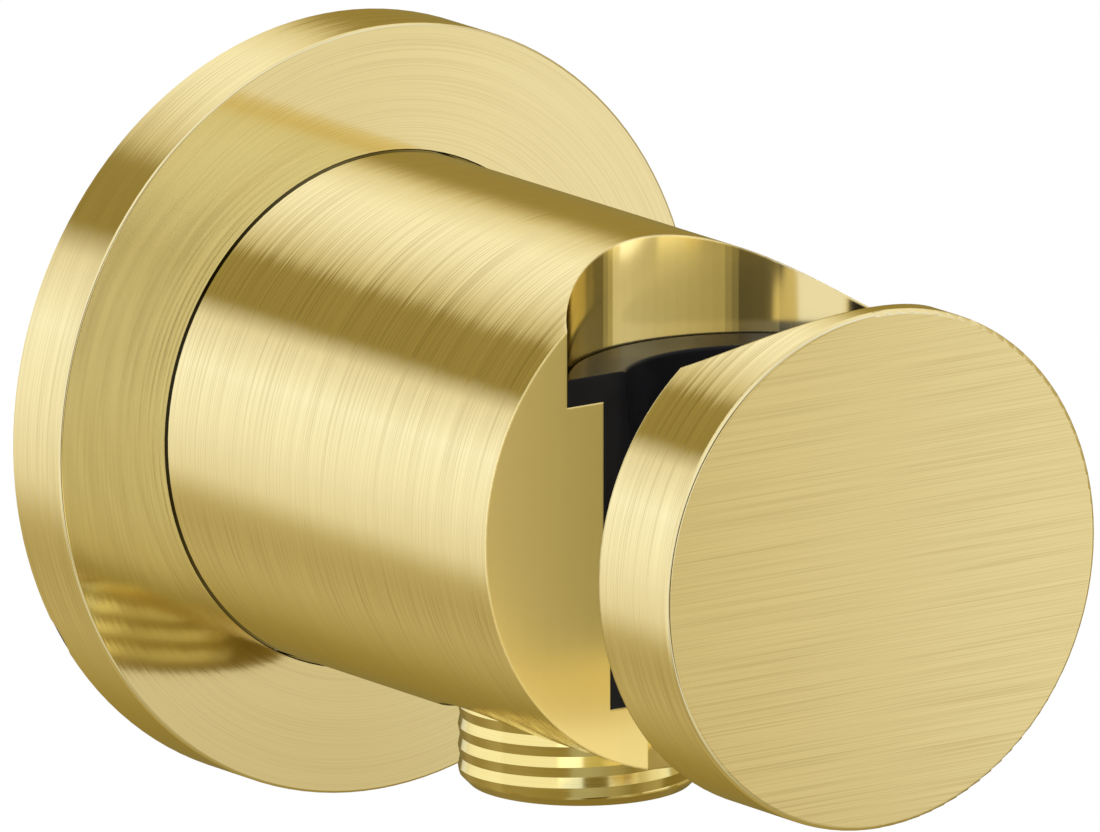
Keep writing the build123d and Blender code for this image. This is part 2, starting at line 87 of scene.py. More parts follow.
# Edges and places on the body and the flange that their boxes don't give
FLANGE_EDGE = 0.28 * MM
DISC_EDGE = 0.42 * MM
SLOT_FACE = -53.45 * MM
DISC_BACK = -69.75 * MM
RECESS_RADIUS = 12.1 * MM
RECESS_ROOF = -17.5 * MM
SEAT_Y = (SLOT_FACE + DISC_BACK) / 2
SEAT_RIM_RADIUS = 16.15 * MM
SEAT_FLOOR = -16.0 * MM

# How finishes tell one face from the next: by place, and by the y part of the surface's normal
FACE_MARGIN = 0.03 * MM
SIDE_MARGIN = 0.10 * MM
# Width of the painted shadow line on the body just in front of the flange, where the gap is
PAINTED_GAP_SHADOW = 0.18 * MM
SIDE_FACING = 0.93
FLAT_FACING = 0.97

# Outlet nipple, by heights and radii that the thread doesn't change
OUTLET_STUB_RADIUS = 9.0 * MM
OUTLET_GROOVE_RADIUS = 7.54 * MM
OUTLET_GROOVE_HEIGHTS = (-8.5 * MM, -10.3 * MM)
OUTLET_BORE_RADIUS = 7.2 * MM
OUTLET_LEDGE = -20.0 * MM
OUTLET_HEX = 12.0 * MM

# Wall nipple, by distances along +Y from the wall
WALL_COLLAR_RADIUS = 13.0 * MM
WALL_COLLAR_FRONT = -3.0 * MM
SPIGOT_RADIUS = 9.0 * MM
SPIGOT_CHAMFER = 0.8 * MM
SPIGOT_GROOVES = ((-9.6 * MM, -12.8 * MM, 8.0 * MM), (-15.55 * MM, -17.65 * MM, 7.25 * MM),
                  (-18.95 * MM, -21.05 * MM, 7.25 * MM))
WALL_HEX = 10.0 * MM

# Finish colours, as linear light
WHITE = (1, 1, 1, 1)
GOLD_LIGHT = (0.875, 0.765, 0.43, 1)
GOLD_DEEP = (0.66, 0.555, 0.29, 1)
# Painted shade: near black gold for the body behind the flange, at its gap and in the outlet's recess
GOLD_PAINTED_SHADE = (0.014, 0.011, 0.005, 1)
GOLD_GRAZING = (0.94, 0.87, 0.64, 1)
THREAD_LIGHT = (0.90, 0.78, 0.34, 1)
THREAD_LIGHT_DEEP = (0.84, 0.72, 0.31, 1)
# Painted shade: darker gold for the hose thread's lower flanks and its tip's chamfer
THREAD_PAINTED_SHADE = (0.52, 0.41, 0.12, 1)
THREAD_PAINTED_SHADE_DEEP = (0.48, 0.37, 0.105, 1)
# Painted shade on the hose thread's side towards the wall
THREAD_BACK_SHADE = (0.48, 0.39, 0.15, 1)
BRASS_LIGHT = (0.80, 0.60, 0.30, 1)
BRASS_DEEP = (0.70, 0.50, 0.23, 1)
STEEL_LIGHT = (0.68, 0.68, 0.69, 1)
STEEL_DEEP = (0.56, 0.56, 0.57, 1)
PLASTIC_BLACK = (0.0105, 0.0105, 0.0125, 1)
PLASTIC_BLACK_WORN = (0.016, 0.016, 0.019, 1)
RUBBER_BLACK = (0.014, 0.014, 0.014, 1)
RUBBER_DUSTY = (0.030, 0.030, 0.029, 1)
VALVE_WHITE = (0.74, 0.74, 0.71, 1)
VALVE_SHADE = (0.66, 0.66, 0.62, 1)

# Brushing: how far one line runs, how wide it is and how far it leans the surface
LINE_LENGTH = 24 * MM
LINE_WIDTH = 0.11 * MM
BAND_LENGTH = 45 * MM
BAND_WIDTH = 0.75 * MM
BAND_SHARE = 0.12
LINE_LEAN = 0.14
DISC_LEAN = 0.05
FLANGE_LEAN = 0.012
BRUSHED_STRETCH = 0.67
EDGE_RADIUS = 0.28 * MM
EDGE_SAMPLES = 4

# Noise: its detail, the parts of its range that are stretched over 0 to 1, and the size of slow changes
NOISE_DETAIL = 2.0
LINE_SPREAD = (0.22, 0.60)
BAND_SPREAD = (0.25, 0.75)
MARK_SPREAD = (0.25, 0.75)
CLOUD_SPREAD = (0.3, 0.7)
CLOUD_SIZE = 6 * MM

# Contrast and offset of the brushed tone, and the even tone of faces without brushing
SIDE_TONE = (1.2, -0.12)
DISC_TONE = (0.8, 0.12)
FLANGE_TONE = (0.5, 0.32)
PLAIN_TONE = 0.6

# Roughness, from the smoothest to the roughest where it changes over a surface
BRUSHED_ROUGH = 0.10
DISC_EDGE_ROUGH = 0.09
SEAT_ROUGH = 0.12
SLOT_ROUGH = 0.30
FLANGE_ROUGH = 0.08
THREAD_ROUGH = (0.12, 0.16)
THREAD_UNDER_ROUGH = (0.14, 0.20)
BRASS_ROUGH = (0.20, 0.30)
STEEL_ROUGH = (0.22, 0.32)
BLACK_ROUGH = (0.30, 0.36)
VALVE_ROUGH = (0.36, 0.46)
RUBBER_ROUGH = (0.62, 0.75)

# Size and depth of the moulded grain, and how much moulded surfaces shine
BLACK_GRAIN = (0.12 * MM, 0.0006 * MM)
VALVE_GRAIN = (0.2 * MM, 0.003 * MM)
RUBBER_GRAIN = (0.15 * MM, 0.006 * MM)
MOULDED_SHINE = 0.5
BLACK_SHINE = 0.08

# Where painted shade darkens the hose thread towards the wall, as shares of its radius
THREAD_BACK_SHADE_RANGE = (0.2, 0.5)

# Tent of soft panels round the body's axis, by pairs of angle from +X towards +Z and light level
TENT_RADIUS = 0.6
TENT_STRIPS = 180
REAR_PANELS = ((-30, 0.25), (0, 0.35), (30, 0.38), (38, 0.66), (46, 0.94), (63, 1.14), (78, 1.09), (90, 0.96),
               (103, 0.74), (111, 0.36), (133, 0.35), (143, 0.94), (163, 1.16), (186, 1.08), (209, 0.92),
               (222, 0.60), (232, 0.54), (254, 0.58), (270, 0.50), (286, 0.39), (300, 0.34), (330, 0.25))
MIDDLE_PANELS = ((-30, 0.42), (20, 0.60), (45, 1.00), (100, 1.05), (200, 1.05), (216, 0.56), (300, 0.42),
                 (330, 0.42))
FRONT_PANELS = ((-30, 0.52), (-18, 0.80), (-8, 0.94), (30, 0.98), (55, 1.02), (90, 0.97), (122, 0.86),
                (152, 0.92), (185, 0.92), (207, 0.86), (234, 0.82), (268, 0.68), (290, 0.44), (320, 0.44),
                (330, 0.52))
END_PANELS = ((-70, 0.78), (70, 0.78), (95, 0.20), (240, 0.20), (265, 0.78), (290, 0.78))

# The tent's rings, by their ends along y
TENT_RINGS = (("rear", 0.25, 3.0, REAR_PANELS), ("middle", -0.45, 0.25, MIDDLE_PANELS),
              ("front", -0.90, -0.45, FRONT_PANELS), ("end", -3.0, -0.90, END_PANELS))

# A light's tint goes from the dark to the bright one as its level rises
LIGHT_DARKEST = 0.34
LIGHT_BRIGHTEST = 1.16
WARM_TINTS = ((1.0, 0.79, 0.25), (1.0, 1.01, 1.03))
FRONT_TINTS = ((1.0, 0.90, 0.45), (1.0, 1.14, 1.65))
LIGHT_PEAK = LIGHT_BRIGHTEST * FRONT_TINTS[1][2]

# Soft panel that lights the flange's front and the disc, darker towards its foot
PANEL_DIRECTION = Vector((0.572, -0.787, -0.18)).normalized()
PANEL_DISTANCE = 0.26
PANEL_CENTRE = PANEL_DIRECTION * PANEL_DISTANCE + Vector((0, DISC_FRONT / 2, 0))
PANEL_WIDTH = 0.16
PANEL_HEIGHT = 0.30
PANEL_LEVELS = ((0.0, 0.58), (0.27, 0.765), (0.46, 0.925), (0.60, 0.915), (0.69, 0.99), (0.81, 1.03),
                (1.0, 1.03))
PANEL_FOOT = (0.76, 0.73, 0.64, 1)
FOOT_RANGE = (0.27, 0.47)

# Small lamps inside the holder, seen only in the metal
LAMP_WATTS_PER_AREA = 4.0
LAMP_GAP = 0.5 * MM
LAMP_TINTS = ((1.0, 0.86, 0.40), (1.0, 1.07, 1.28))

# Rows of lamps along the seat's wall: two angles from +X towards +Y, the level at each, and how many
SEAT_LAMPS = ((47, 59, 0.10, 0.08, 3), (59, 63, 0.14, 0.28, 2), (63, 101, 0.34, 0.52, 10),
              (101, 105, 0.36, 0.16, 2), (105, 148, 0.09, 0.04, 6))

# Rows of lamps along the slot's face: two places along x, two along z, the level at each x, and how many
SLOT_LAMPS = ((-24 * MM, -8 * MM, -BODY_RADIUS, BODY_RADIUS, 0.44, 0.33, 8),
              (-8 * MM, 9 * MM, -BODY_RADIUS, SEAT_FLOOR, 0.30, 0.40, 6))

# A floor well below the part, and enough bounces for the mirror images in the slot and the seat
FLOOR_HEIGHT = -0.75
FLOOR_SIZE = 40.0
MIRROR_BOUNCES = 16

# Camera, from a fit of the photograph
CAMERA_AZIMUTH = -36.0
CAMERA_ELEVATION = 13.44
CAMERA_AIM = Vector((-1.62, -34.02, 4.83)) * MM
CAMERA_LENS = 1200.0
CAMERA_SENSOR = 36.0
CAMERA_DISTANCE = 3.131
CAMERA_NEAREST = 0.1
CAMERA_FARTHEST = 100.0


# Node helpers
def feed(tree, socket, value):
    """Sets a socket, or links it to another node's output."""
    if isinstance(value, bpy.types.NodeSocket):
        tree.links.new(value, socket)
    else:
        socket.default_value = value


def calc(tree, operation, *values):
    """A number worked out by a Math node."""
    node = tree.nodes.new("ShaderNodeMath")
    node.operation = operation
    for socket, value in zip(node.inputs, values):
        feed(tree, socket, value)
    return node.outputs[0]


def vector_calc(tree, operation, *values):
    """A vector worked out by a Vector Math node."""
    node = tree.nodes.new("ShaderNodeVectorMath")
    node.operation = operation
    for socket, value in zip(node.inputs, values):
        feed(tree, socket, value)
    return node.outputs[0]


def combine(tree, x, y, z):
    """A vector from three numbers."""
    node = tree.nodes.new("ShaderNodeCombineXYZ")
    for socket, value in zip(node.inputs, (x, y, z)):
        feed(tree, socket, value)
    return node.outputs[0]


def distance(tree, a, b):
    """The distance of a point from an axis, by its two parts across the axis."""
    return calc(tree, "SQRT", calc(tree, "MULTIPLY_ADD", a, a, calc(tree, "MULTIPLY", b, b)))


def both(tree, *masks):
    """A mask that is 1 where all the given ones are."""
    result = masks[0]
    for mask in masks[1:]:
        result = calc(tree, "MULTIPLY", result, mask)
    return result


MIX_SOCKETS = {"FLOAT": (2, 3, 0), "VECTOR": (4, 5, 1), "RGBA": (6, 7, 2)}


def mix(tree, kind, factor, first, second):
    """A blend of two numbers, vectors or colours."""
    node = tree.nodes.new("ShaderNodeMix")
    node.data_type = kind
    a, b, result = MIX_SOCKETS[kind]
    feed(tree, node.inputs[0], factor)
    feed(tree, node.inputs[a], first)
    feed(tree, node.inputs[b], second)
    return node.outputs[result]


def noise(tree, vector):
    """Noise of unit scale at a vector, as a number from 0 to 1."""
    node = tree.nodes.new("ShaderNodeTexNoise")
    node.inputs["Scale"].default_value = 1.0
    node.inputs["Detail"].default_value = NOISE_DETAIL
    feed(tree, node.inputs["Vector"], vector)
    return node.outputs["Fac"]


def spread(tree, value, low, high):
    """Stretches the middle of a noise over the range from 0 to 1."""
    node = tree.nodes.new("ShaderNodeMapRange")
    node.interpolation_type = "SMOOTHSTEP"
    feed(tree, node.inputs["Value"], value)
    node.inputs["From Min"].default_value = low
    node.inputs["From Max"].default_value = high
    return node.outputs["Result"]


def position(tree):
    """The x, y and z of the point on the piece."""
    coordinates = tree.nodes.new("ShaderNodeTexCoord")
    split = tree.nodes.new("ShaderNodeSeparateXYZ")
    tree.links.new(coordinates.outputs["Object"], split.inputs[0])
    return split.outputs[0], split.outputs[1], split.outputs[2]


def facing(tree):
    """The y part of the surface's normal, without its sign."""
    geometry = tree.nodes.new("ShaderNodeNewGeometry")
    split = tree.nodes.new("ShaderNodeSeparateXYZ")
    tree.links.new(geometry.outputs["Normal"], split.inputs[0])
    return calc(tree, "ABSOLUTE", split.outputs[1])


def new_material(name, metallic, anisotropic=0.0):
    """A material with one Principled shader."""
    material = bpy.data.materials.new(name)
    material.use_nodes = True
    tree = material.node_tree
    tree.nodes.clear()
    output = tree.nodes.new("ShaderNodeOutputMaterial")
    shader = tree.nodes.new("ShaderNodeBsdfPrincipled")
    shader.inputs["Metallic"].default_value = metallic
    shader.inputs["Anisotropic"].default_value = anisotropic
    tree.links.new(shader.outputs["BSDF"], output.inputs["Surface"])
    return material, tree, shader


def bump(tree, shader, height, rise):
    """Raises the surface by a height from 0 to 1."""
    node = tree.nodes.new("ShaderNodeBump")
    node.inputs["Distance"].default_value = rise
    feed(tree, node.inputs["Height"], height)
    feed(tree, node.inputs["Normal"], softened_edges(tree))
    tree.links.new(node.outputs["Normal"], shader.inputs["Normal"])


# Metal finishes
def lines(tree, fast, slow_a, slow_b, length, width):
    """Noise drawn out into lines: fast runs across them, slow_a and slow_b along them."""
    vector = combine(
        tree,
        calc(tree, "DIVIDE", slow_a, length),
        calc(tree, "DIVIDE", slow_b, length),
        calc(tree, "DIVIDE", fast, width),
    )
    return noise(tree, vector)


def brushing(tree, fast, slow_a, slow_b):
    """A tone from 0 to 1, of fine dark lines over broader bands, and each line's lean from -1 to 1."""
    fine = lines(tree, fast, slow_a, slow_b, LINE_LENGTH, LINE_WIDTH)
    broad = lines(tree, fast, slow_a, slow_b, BAND_LENGTH, BAND_WIDTH)
    tone = mix(tree, "FLOAT", BAND_SHARE, spread(tree, fine, *LINE_SPREAD), spread(tree, broad, *BAND_SPREAD))
    lean = calc(tree, "MULTIPLY_ADD", fine, 2.0, -1.0)
    return tone, lean


def softened_edges(tree):
    """The surface's normal, rounded over at sharp edges."""
    node = tree.nodes.new("ShaderNodeBevel")
    node.samples = EDGE_SAMPLES
    node.inputs["Radius"].default_value = EDGE_RADIUS
    return node.outputs["Normal"]


def surface_normal(tree):
    """The surface's own normal."""
    return tree.nodes.new("ShaderNodeNewGeometry").outputs["Normal"]


def leaned(tree, normal, direction, amount):
    """A normal leaned along a direction."""
    lean = vector_calc(tree, "MULTIPLY", direction, amount)
    return vector_calc(tree, "NORMALIZE", vector_calc(tree, "ADD", normal, lean))


def body_zones(tree, x, y, z):
    """Masks for the body's front disc, side, front edge, slot faces, and the painted shade at the flange and
    in the recess.
    """
    flat = facing(tree)
    front = calc(tree, "LESS_THAN", y, DISC_FRONT + FACE_MARGIN)
    rounded = calc(tree, "LESS_THAN", y, DISC_FRONT + DISC_EDGE)
    inner = mix(tree, "FLOAT", rounded, BODY_RADIUS - SIDE_MARGIN, BODY_RADIUS - DISC_EDGE - FACE_MARGIN)
    outside = calc(tree, "GREATER_THAN", distance(tree, x, z), inner)
    side = both(tree, outside, calc(tree, "LESS_THAN", flat, SIDE_FACING))
    edge = both(tree, side, rounded)
    on_slot = calc(tree, "MAXIMUM", calc(tree, "COMPARE", y, SLOT_FACE, FACE_MARGIN),
                   calc(tree, "COMPARE", y, DISC_BACK, FACE_MARGIN))
    slot_face = both(tree, on_slot, calc(tree, "GREATER_THAN", flat, FLAT_FACING))
    # Painted shade behind the flange front, and in a thin line just in front of it as the gap's shadow
    flange_shade = both(tree, side, calc(tree, "GREATER_THAN", y, FLANGE_FRONT - PAINTED_GAP_SHADOW))
    from_outlet = distance(tree, x, calc(tree, "SUBTRACT", y, OUTLET_Y))
    # Painted shade in the recess round the outlet
    recess_shade = both(tree, calc(tree, "LESS_THAN", from_outlet, RECESS_RADIUS + FACE_MARGIN),
                     calc(tree, "LESS_THAN", z, RECESS_ROOF + FACE_MARGIN))
    painted_shade = calc(tree, "MAXIMUM", flange_shade, recess_shade)
    return front, side, edge, slot_face, painted_shade


def gold_body():
    """The body: brushed round its side and across its front disc, satin in its slot and bore, with painted
    shade at the flange and in the recess.
    """
    material, tree, shader = new_material("gold_body", 1.0, BRUSHED_STRETCH)
    shader.inputs["Specular Tint"].default_value = GOLD_GRAZING
    x, y, z = position(tree)
    front, side, edge, slot_face, painted_shade = body_zones(tree, x, y, z)
    coated = calc(tree, "MAXIMUM", front, side)
    brushed, lean = brushing(tree, mix(tree, "FLOAT", front, y, z), x, mix(tree, "FLOAT", front, z, 0.0))
    side_tone = calc(tree, "MULTIPLY_ADD", brushed, *SIDE_TONE)
    disc_tone = calc(tree, "MULTIPLY_ADD", brushed, *DISC_TONE)
    tone = mix(tree, "FLOAT", coated, PLAIN_TONE, mix(tree, "FLOAT", front, side_tone, disc_tone))
    gold = mix(tree, "RGBA", tone, GOLD_DEEP, GOLD_LIGHT)
    # Painted shade: near black where the flange and the recess would shade the body
    feed(tree, shader.inputs["Base Color"], mix(tree, "RGBA", painted_shade, gold, GOLD_PAINTED_SHADE))
    rough = mix(tree, "FLOAT", slot_face, SEAT_ROUGH, SLOT_ROUGH)
    rough = mix(tree, "FLOAT", coated, rough, BRUSHED_ROUGH)
    feed(tree, shader.inputs["Roughness"], mix(tree, "FLOAT", edge, rough, DISC_EDGE_ROUGH))
    tangent = mix(tree, "VECTOR", slot_face, (0, 0, 1), (1, 0, 0))
    tangent = mix(tree, "VECTOR", side, tangent, (0, 1, 0))
    feed(tree, shader.inputs["Tangent"], tangent)
    most = mix(tree, "FLOAT", front, LINE_LEAN, DISC_LEAN)
    amount = both(tree, lean, coated, most, calc(tree, "SUBTRACT", 1.0, edge))
    at_front = calc(tree, "LESS_THAN", y, DISC_FRONT + 2 * DISC_EDGE)
    normal = mix(tree, "VECTOR", at_front, softened_edges(tree), surface_normal(tree))
    feed(tree, shader.inputs["Normal"], leaned(tree, normal, tangent, amount))
    return material


def gold_flange():
    """The flange: brushed in circles on its front and round its rim, polished on the edge between them."""
    material, tree, shader = new_material("gold_flange", 1.0, BRUSHED_STRETCH)
    shader.inputs["Specular Tint"].default_value = GOLD_GRAZING
    x, y, z = position(tree)
    radius = distance(tree, x, z)
    flat = calc(tree, "GREATER_THAN", facing(tree), FLAT_FACING)
    edge = both(tree, calc(tree, "GREATER_THAN", radius, FLANGE_RADIUS - FLANGE_EDGE),
                calc(tree, "LESS_THAN", y, FLANGE_FRONT + FLANGE_EDGE))
    brushed, lean = brushing(tree, calc(tree, "SUBTRACT", radius, y), x, z)
    tone = mix(tree, "FLOAT", flat, brushed, calc(tree, "MULTIPLY_ADD", brushed, *FLANGE_TONE))
    feed(tree, shader.inputs["Base Color"], mix(tree, "RGBA", tone, GOLD_DEEP, GOLD_LIGHT))
    rough = mix(tree, "FLOAT", calc(tree, "MAXIMUM", flat, edge), BRUSHED_ROUGH, FLANGE_ROUGH)
    feed(tree, shader.inputs["Roughness"], rough)
    outward = vector_calc(tree, "NORMALIZE", combine(tree, x, 0.0, z))
    tangent = mix(tree, "VECTOR", flat, (0, 1, 0), outward)
    feed(tree, shader.inputs["Tangent"], tangent)
    most = mix(tree, "FLOAT", flat, LINE_LEAN, FLANGE_LEAN)
    amount = both(tree, lean, most, calc(tree, "SUBTRACT", 1.0, edge))
    feed(tree, shader.inputs["Normal"], leaned(tree, surface_normal(tree), tangent, amount))
    return material


def turned_metal(name, deep, light, rough, axis, back=None):
    """Metal with fine turning marks about the Y or the Z axis. The hose thread gets painted shade on its
    back, towards the wall.
    """
    material, tree, shader = new_material(name, 1.0)
    x, y, z = position(tree)
    fast, slow = (y, z) if axis == "Y" else (z, y)
    marks = spread(tree, lines(tree, fast, x, slow, LINE_LENGTH, LINE_WIDTH), *MARK_SPREAD)
    colour = mix(tree, "RGBA", marks, deep, light)
    if back:
        start, end = (OUTLET_Y + share * PIPE_RADIUS for share in THREAD_BACK_SHADE_RANGE)
        # Painted shade: darker towards the wall
        colour = mix(tree, "RGBA", spread(tree, y, start, end), colour, back)
    feed(tree, shader.inputs["Base Color"], colour)
    feed(tree, shader.inputs["Roughness"], mix(tree, "FLOAT", marks, *rough))
    return material


# Plastic and rubber
def moulded(name, plain, worn, rough, grain, shine=MOULDED_SHINE):
    """A moulded surface with fine grain and slow changes of gloss."""
    material, tree, shader = new_material(name, 0.0)
    shader.inputs["Specular IOR Level"].default_value = shine
    coordinates = tree.nodes.new("ShaderNodeTexCoord")

    def noise_at(size):
        scaled = tree.nodes.new("ShaderNodeVectorMath")
        scaled.operation = "SCALE"
        scaled.inputs["Scale"].default_value = 1 / size
        tree.links.new(coordinates.outputs["Object"], scaled.inputs[0])
        return noise(tree, scaled.outputs[0])

    cloud = spread(tree, noise_at(CLOUD_SIZE), *CLOUD_SPREAD)
    feed(tree, shader.inputs["Base Color"], mix(tree, "RGBA", cloud, plain, worn))
    feed(tree, shader.inputs["Roughness"], mix(tree, "FLOAT", cloud, *rough))
    grain_size, grain_depth = grain
    bump(tree, shader, noise_at(grain_size), grain_depth)
    return material


# Threaded pieces, built as rings of points about an upright axis
def plain_ring(radius, height):
    """A round ring."""
    return lambda angle: (radius, height)


def hex_radius(across_flats, angle):
    """The distance of a hexagon's side from its centre at an angle."""
    sector = pi / 3
    return across_flats / 2 / cos((angle + sector / 2) % sector - sector / 2)


def hex_ring(across_flats, height):
    """A six-sided ring."""
    return lambda angle: (hex_radius(across_flats, angle), height)


def hex_mouth_ring(across_flats, end, inward):
    """The edge where a cone from the hexagon's corners meets its sides."""
    corner = across_flats / sqrt(3)

    def at(angle):
        radius = hex_radius(across_flats, angle)
        return radius, end + inward * (corner - radius)

    return at


class Thread:
    """A right-hand thread of V section from its shoulder to its chamfered tip, along an upright axis."""

    def __init__(self, shoulder, tip):
        self.shoulder = shoulder
        self.tip = tip

    def radius(self, angle, height):
        """The distance of the surface from the axis."""
        turns = height / THREAD_PITCH - angle / tau
        cut = THREAD_DEPTH * abs(turns % 1.0 * 2 - 1)
        to_tip = abs(self.tip - height)
        return PIPE_RADIUS - max(cut, THREAD_CHAMFER - to_tip)

    def edge(self, height):
        """The ring where the thread ends at a height."""
        return lambda angle: (self.radius(angle, height), height)

    def line(self, number):
        """One line along the helix, held between the two ends."""
        low, high = sorted((self.shoulder, self.tip))

        def at(angle):
            height = (number / THREAD_LINES + angle / tau) * THREAD_PITCH
            height = min(high, max(low, height))
            return self.radius(angle, height), height

        return at

    def on_chamfer(self, number, angle):
        """Whether a line lies on the tip's chamfer at an angle."""
        return abs(self.tip - self.line(number)(angle)[1]) < THREAD_CHAMFER

    def numbers(self):
        """The numbers of the lines that cover the whole thread."""
        low, high = sorted((self.shoulder, self.tip))
        first = floor(low / THREAD_PITCH * THREAD_LINES) - THREAD_LINES
        last = ceil(high / THREAD_PITCH * THREAD_LINES) + THREAD_LINES + 1
        return range(first, last + 1)


def ring_points(mesh, ring, place):
    """The points of one ring."""
    points = []
    for index in range(RING_POINTS):
        angle = tau * index / RING_POINTS
        radius, height = ring(angle)
        points.append(mesh.verts.new(place @ Vector((radius * cos(angle), radius * sin(angle), height))))
    return points


def add_strips(mesh, rings, place):
    """Joins each ring to the next."""
    loops = [ring_points(mesh, ring, place) for ring in rings]
    for first, second in zip(loops, loops[1:]):
        for index in range(RING_POINTS):
            after = (index + 1) % RING_POINTS
            mesh.faces.new((first[index], first[after], second[after], second[index]))


def add_thread(mesh, thread, place):
    """Joins the helical lines of a thread. Its lower flanks and its chamfer take the second material, a
    darker gold of painted shade.
    """
    numbers = thread.numbers()
    loops = {number: ring_points(mesh, thread.line(number), place) for number in numbers}
    for number in numbers[:-1 - THREAD_LINES]:
        first, second = loops[number], loops[number + 1]
        first = first + loops[number + THREAD_LINES][:1]
        second = second + loops[number + 1 + THREAD_LINES][:1]
        # The lower flanks and the chamfer take the darker material, as painted shade
        under = number % THREAD_LINES < THREAD_LINES / 2
        for index in range(RING_POINTS):
            face = mesh.faces.new((first[index], first[index + 1], second[index + 1], second[index]))
            face.material_index = int(under or thread.on_chamfer(number, tau * index / RING_POINTS))


def threaded_piece(name, rings, thread, place, materials):
    """A closed piece: rings of points from the thread's tip round to its shoulder, and the thread itself."""
    mesh = bmesh.new()
    add_strips(mesh, [thread.edge(thread.tip), *rings, thread.edge(thread.shoulder)], place)
    add_thread(mesh, thread, place)
    bmesh.ops.remove_doubles(mesh, verts=mesh.verts, dist=MERGE_DISTANCE)
    bmesh.ops.recalc_face_normals(mesh, faces=mesh.faces)
    data = bpy.data.meshes.new(name)
    mesh.to_mesh(data)
    mesh.free()
    data.shade_smooth()
    data.set_sharp_from_angle(angle=SHARP_EDGE)
    for material in materials:
        data.materials.append(material)
    piece = bpy.data.objects.new(name, data)
    bpy.context.scene.collection.objects.link(piece)
    return piece


def outlet_thread(*materials):
    """The hose nipple with its cut thread, valve bore and key socket."""
    top, bottom = OUTLET_HIGH.z, OUTLET_LOW.z
    groove_top, groove_bottom = OUTLET_GROOVE_HEIGHTS
    rings = [
        plain_ring(OUTLET_HEX / sqrt(3), bottom),
        hex_mouth_ring(OUTLET_HEX, bottom, 1),
        hex_ring(OUTLET_HEX, OUTLET_LEDGE),
        plain_ring(OUTLET_BORE_RADIUS, OUTLET_LEDGE),
        plain_ring(OUTLET_BORE_RADIUS, top),
        plain_ring(OUTLET_STUB_RADIUS, top),
        plain_ring(OUTLET_STUB_RADIUS, groove_top),
        plain_ring(OUTLET_GROOVE_RADIUS, groove_top),
        plain_ring(OUTLET_GROOVE_RADIUS, groove_bottom),
        plain_ring(OUTLET_STUB_RADIUS, groove_bottom),
        plain_ring(OUTLET_STUB_RADIUS, RECESS_ROOF),
    ]
    place = Matrix.Translation((0, OUTLET_Y, 0))
    piece = threaded_piece("outlet_thread", rings, Thread(RECESS_ROOF, bottom), place, materials)
    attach(piece, "holder")
    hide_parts("outlet_nipple")


def wall_thread(*materials):
    """The wall nipple with its cut thread, collar, spigot and key bore."""
    front, back = WALL_LOW.y, WALL_HIGH.y
    rings = [
        hex_ring(WALL_HEX, back),
        hex_ring(WALL_HEX, front),
        plain_ring(SPIGOT_RADIUS - SPIGOT_CHAMFER, front),
        plain_ring(SPIGOT_RADIUS, front + SPIGOT_CHAMFER),
    ]
    for groove_rear, groove_front, groove_radius in reversed(SPIGOT_GROOVES):
        rings += [
            plain_ring(SPIGOT_RADIUS, groove_front),
            plain_ring(groove_radius, groove_front),
            plain_ring(groove_radius, groove_rear),
            plain_ring(SPIGOT_RADIUS, groove_rear),
        ]
    rings += [
        plain_ring(SPIGOT_RADIUS, WALL_COLLAR_FRONT),
        plain_ring(WALL_COLLAR_RADIUS, WALL_COLLAR_FRONT),
        plain_ring(WALL_COLLAR_RADIUS, 0.0),
    ]
    place = Matrix.Rotation(-pi / 2, 4, "X")
    piece = threaded_piece("wall_thread", rings, Thread(0.0, back), place, materials)
    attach(piece, "holder")
    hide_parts("wall_nipple")


def closing_spring(material):
    """The valve's spring: a copy of its solid with its own mesh, attached to the holder. In the valve, the
    poppet presses it together as it opens.
    """
    coil = frame["nodes"]["check_valve_spring"].data.copy()
    piece = bpy.data.objects.new("closing_spring", coil)
    bpy.context.scene.collection.objects.link(piece)
    coil.materials.clear()
    coil.materials.append(material)
    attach(piece, "holder")
    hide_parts("check_valve_spring")
    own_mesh(piece)


# Studio
def light_colour(level, tints):
    """A light's colour as a share of the peak."""
    share = (level - LIGHT_DARKEST) / (LIGHT_BRIGHTEST - LIGHT_DARKEST)
    share = min(1.0, max(0.0, share))
    tint = [dark + share * (bright - dark) for dark, bright in zip(*tints)]
    return [level * part / LIGHT_PEAK for part in tint] + [1.0]


def light_ramp(tree, place, levels, tints):
    """Light that changes along a place from 0 to 1, by pairs of place and level."""
    ramp = tree.nodes.new("ShaderNodeValToRGB")
    stops = ramp.color_ramp.elements
    while len(stops) > 1:
        stops.remove(stops[-1])
    stops[0].position, first_level = levels[0]
    stops[0].color = light_colour(first_level, tints)
    for stop, level in levels[1:]:
        stops.new(stop).color = light_colour(level, tints)
    feed(tree, ramp.inputs["Fac"], place)
    return ramp.outputs["Color"]


def light_material(name, levels, tints, foot=WHITE):
    """Light that changes along u, by pairs of place and level, and is dimmed by a colour at the foot of v."""
    material = bpy.data.materials.new(name)
    material.use_nodes = True
    material.cycles.emission_sampling = "NONE"
    tree = material.node_tree
    tree.nodes.clear()
    output = tree.nodes.new("ShaderNodeOutputMaterial")
    emission = tree.nodes.new("ShaderNodeEmission")
    coordinates = tree.nodes.new("ShaderNodeUVMap")
    split = tree.nodes.new("ShaderNodeSeparateXYZ")
    tree.links.new(coordinates.outputs["UV"], split.inputs[0])
    share = mix(tree, "RGBA", spread(tree, split.outputs[1], *FOOT_RANGE), foot, WHITE)
    light = vector_calc(tree, "MULTIPLY", light_ramp(tree, split.outputs[0], levels, tints), share)
    feed(tree, emission.inputs["Color"], light)
    emission.inputs["Strength"].default_value = LIGHT_PEAK
    tree.links.new(emission.outputs[0], output.inputs["Surface"])
    return material


def hide_from_camera(light):
    """Leaves a panel of light to be seen only in reflections."""
    light.visible_camera = False
    light.visible_diffuse = False
    light.visible_shadow = False


